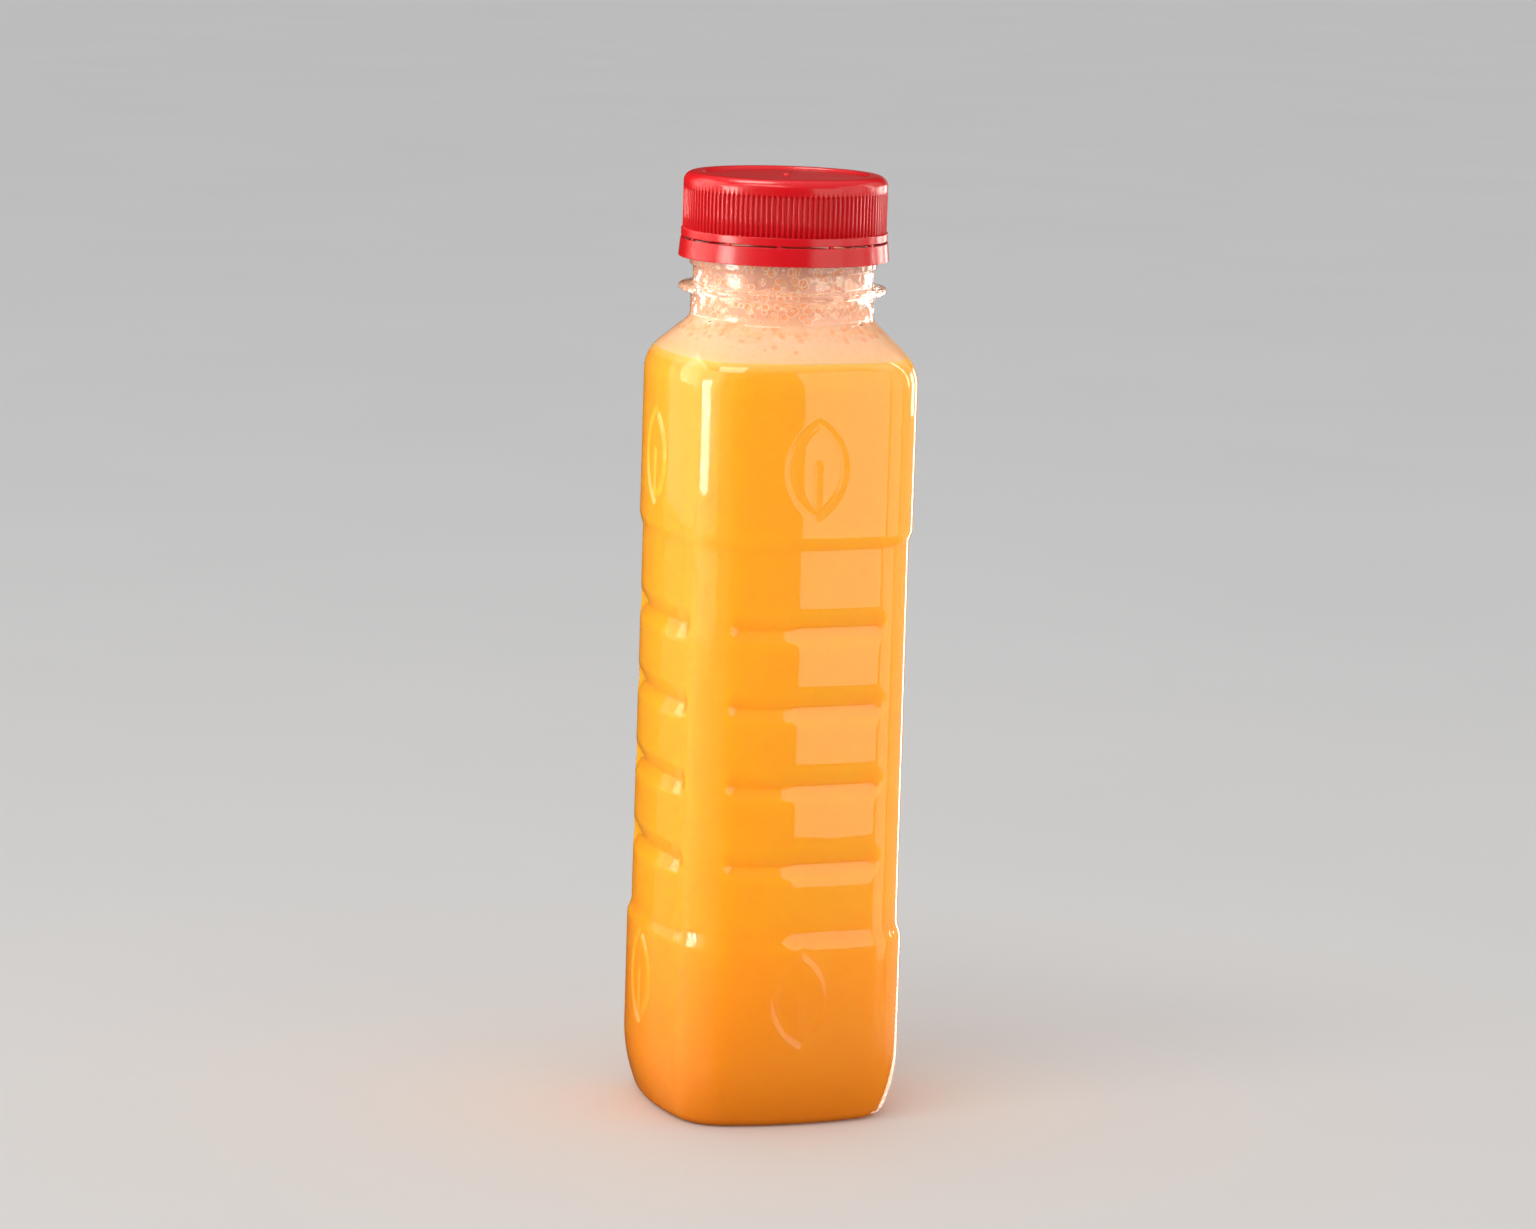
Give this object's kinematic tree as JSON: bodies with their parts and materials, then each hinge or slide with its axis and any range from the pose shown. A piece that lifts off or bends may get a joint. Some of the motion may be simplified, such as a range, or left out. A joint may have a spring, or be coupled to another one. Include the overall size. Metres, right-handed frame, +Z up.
{
  "type": "bottle of orange juice",
  "caption": "Shut clear plastic bottle of orange juice with rounded square sides, grip grooves, foam at the neck and a ribbed screw cap.",
  "frame": {"origin": "middle of the base, on the plane of the ring that the bottle stands on", "axes": "+Z up along the bottle's axis; the four faces of the body look along +X, +Y, -X and -Y"},
  "size_m": [0.0522, 0.0522, 0.19],
  "materials": {
    "clear_plastic": "clear blown plastic, glossy",
    "orange_juice": "cloudy orange liquid seen through the wall",
    "juice_foam": "pale fine foam with a few larger bubbles",
    "red_plastic": "moulded red plastic, semi-gloss"
  },
  "bodies": {
    "root": {"bottle": "clear_plastic", "juice": "orange_juice", "foam": "juice_foam", "cap": "red_plastic"}
  },
  "joints": []
}
